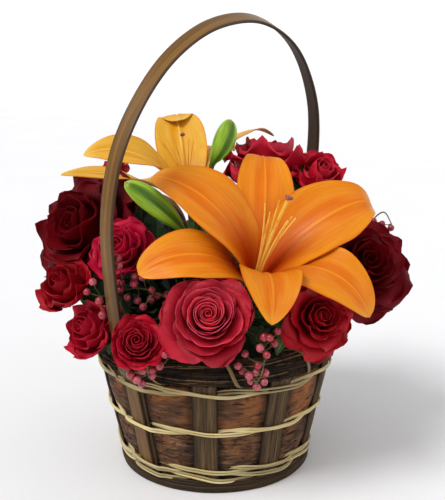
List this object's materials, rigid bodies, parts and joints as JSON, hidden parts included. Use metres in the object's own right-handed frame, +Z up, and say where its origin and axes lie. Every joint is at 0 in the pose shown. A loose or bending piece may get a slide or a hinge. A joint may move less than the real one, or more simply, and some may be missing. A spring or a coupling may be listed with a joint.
{
  "type": "flower basket arrangement",
  "caption": "Round woven bark basket with a tall hoop handle, filled with foam that holds orange lilies, red roses and sprays of pink pepperberries.",
  "frame": {"origin": "on the basket's axis, at the floor that its base board and foot ring stand on", "axes": "+Z up along the basket's axis; -Y towards the side shown first, +X to that side's right"},
  "size_m": [0.3064, 0.2558, 0.3592],
  "materials": {
    "driftwood": "grey-brown flat reeds, matt",
    "foot_wood": "dark split wood, matt",
    "bark_rough": "rough fissured bark, matt",
    "bark_smooth": "smooth orange-brown bark with dark lenticels",
    "straw": "pale split reed, low sheen",
    "twigs": "dark thin twigs in a bundle, matt",
    "cane": "brown rattan strap, satin",
    "plastic": "thin dark pot liner",
    "floral_foam": "wet green floral foam, matt",
    "leaf_green": "leaf and stem, satin",
    "lily_orange": "waxy orange petal with redder throat",
    "lily_gold": "waxy golden yellow petal",
    "filament": "fine orange-yellow stamen",
    "rose_pink_red": "velvety pink-red petal",
    "rose_red": "velvety red petal",
    "rose_burgundy": "velvety burgundy petal",
    "rose_hot_pink": "velvety hot pink petal",
    "berry_pink": "dusty pink glossy berry"
  },
  "bodies": {
    "root": {"base_board": "driftwood", "foot_ring": "foot_wood", "stake_0": "driftwood", "stake_1": "driftwood", "stake_2": "driftwood", "stake_3": "driftwood", "stake_4": "driftwood", "stake_5": "driftwood", "stake_6": "driftwood", "stake_7": "driftwood", "stake_8": "driftwood", "stake_9": "driftwood", "bark_band_lower": "bark_rough", "bark_band_upper": "bark_smooth", "wale_bottom": "straw", "wale_middle": "straw", "wale_top": "straw", "border_roll": "twigs", "border_lashing": "straw", "handle_hoop": "cane", "liner_dish": "plastic", "lily_front_tepals": "lily_orange", "lily_front_stamens": "filament", "lily_back_tepals": "lily_gold", "lily_back_stamens": "filament", "lily_front_stem": "leaf_green", "lily_back_stem": "leaf_green", "rose_centre_stem": "leaf_green", "rose_centre_bloom": "rose_pink_red", "rose_front_right_stem": "leaf_green", "rose_front_right_bloom": "rose_red", "rose_front_left_stem": "leaf_green", "rose_front_left_bloom": "rose_pink_red", "rose_left_centre_stem": "leaf_green", "rose_left_centre_bloom": "rose_hot_pink", "rose_left_stem": "leaf_green", "rose_left_bloom": "rose_red", "rose_lower_left_stem": "leaf_green", "rose_lower_left_bloom": "rose_red", "rose_large_left_stem": "leaf_green", "rose_large_left_bloom": "rose_burgundy", "rose_large_right_stem": "leaf_green", "rose_large_right_bloom": "rose_burgundy", "rose_back_top_stem": "leaf_green", "rose_back_top_bloom": "rose_red", "rose_back_right_stem": "leaf_green", "rose_back_right_bloom": "rose_red", "rose_back_left_stem": "leaf_green", "rose_back_left_bloom": "rose_hot_pink", "rose_rear_left_stem": "leaf_green", "rose_rear_left_bloom": "rose_red", "rose_rear_centre_stem": "leaf_green", "rose_rear_centre_bloom": "rose_pink_red", "rose_rear_right_stem": "leaf_green", "rose_rear_right_bloom": "rose_red", "pepperberries_left": "berry_pink", "pepperberries_front": "berry_pink", "pepperberries_front_left": "berry_pink", "pepperberries_right": "berry_pink", "foam_block": "floral_foam"}
  },
  "joints": []
}
